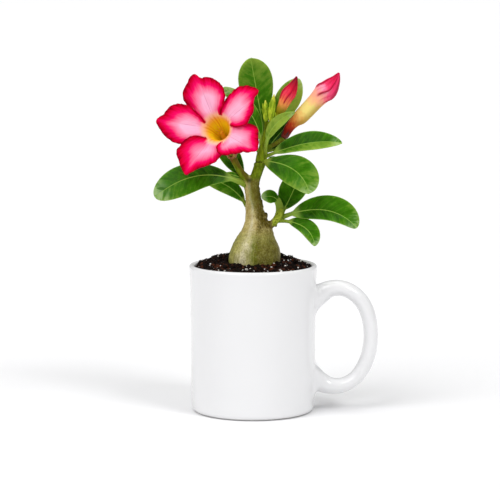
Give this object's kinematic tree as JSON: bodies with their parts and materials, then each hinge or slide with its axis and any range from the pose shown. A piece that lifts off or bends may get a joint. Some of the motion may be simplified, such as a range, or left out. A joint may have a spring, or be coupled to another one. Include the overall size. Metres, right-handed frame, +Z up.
{
  "type": "potted desert rose adenium",
  "caption": "Young desert rose with a swollen stem, glossy leaves, a trumpet bloom and buds, growing in soil in a plain handled ceramic mug.",
  "frame": {"origin": "middle of the object's bounding box at the surface it stands on", "axes": "+Z up, +X along the mug's handle, -Y towards the side that the bloom faces"},
  "size_m": [0.1428, 0.0854, 0.2275],
  "materials": {
    "ceramic": "gloss",
    "soil": "matte",
    "bark": "matte",
    "leaf": "satin",
    "young_leaf": "satin",
    "petal": "satin",
    "bud": "satin",
    "green_bud": "satin",
    "calyx": "satin"
  },
  "bodies": {
    "root": {"mug": "ceramic", "soil": "soil", "trunk": "bark", "leaf_top": "leaf", "leaf_top_right": "leaf", "leaf_behind_bloom": "leaf", "leaf_young_front": "young_leaf", "leaf_shade": "leaf", "leaf_right_upper": "leaf", "leaf_right_front": "leaf", "leaf_left_long": "leaf", "leaf_left_small": "young_leaf", "leaf_left_low": "leaf", "leaf_left_back": "leaf", "leaf_shoot_small": "leaf", "leaf_shoot_up": "leaf", "leaf_shoot_right": "leaf", "leaf_shoot_low": "leaf", "leaf_back_left": "leaf", "leaf_back_right": "leaf", "leaf_back_top": "leaf", "bloom": "petal", "bloom_calyx": "calyx", "bud_large": "bud", "bud_large_calyx": "calyx", "bud_red": "bud", "bud_green_left": "green_bud", "bud_green_right": "green_bud"}
  },
  "joints": []
}
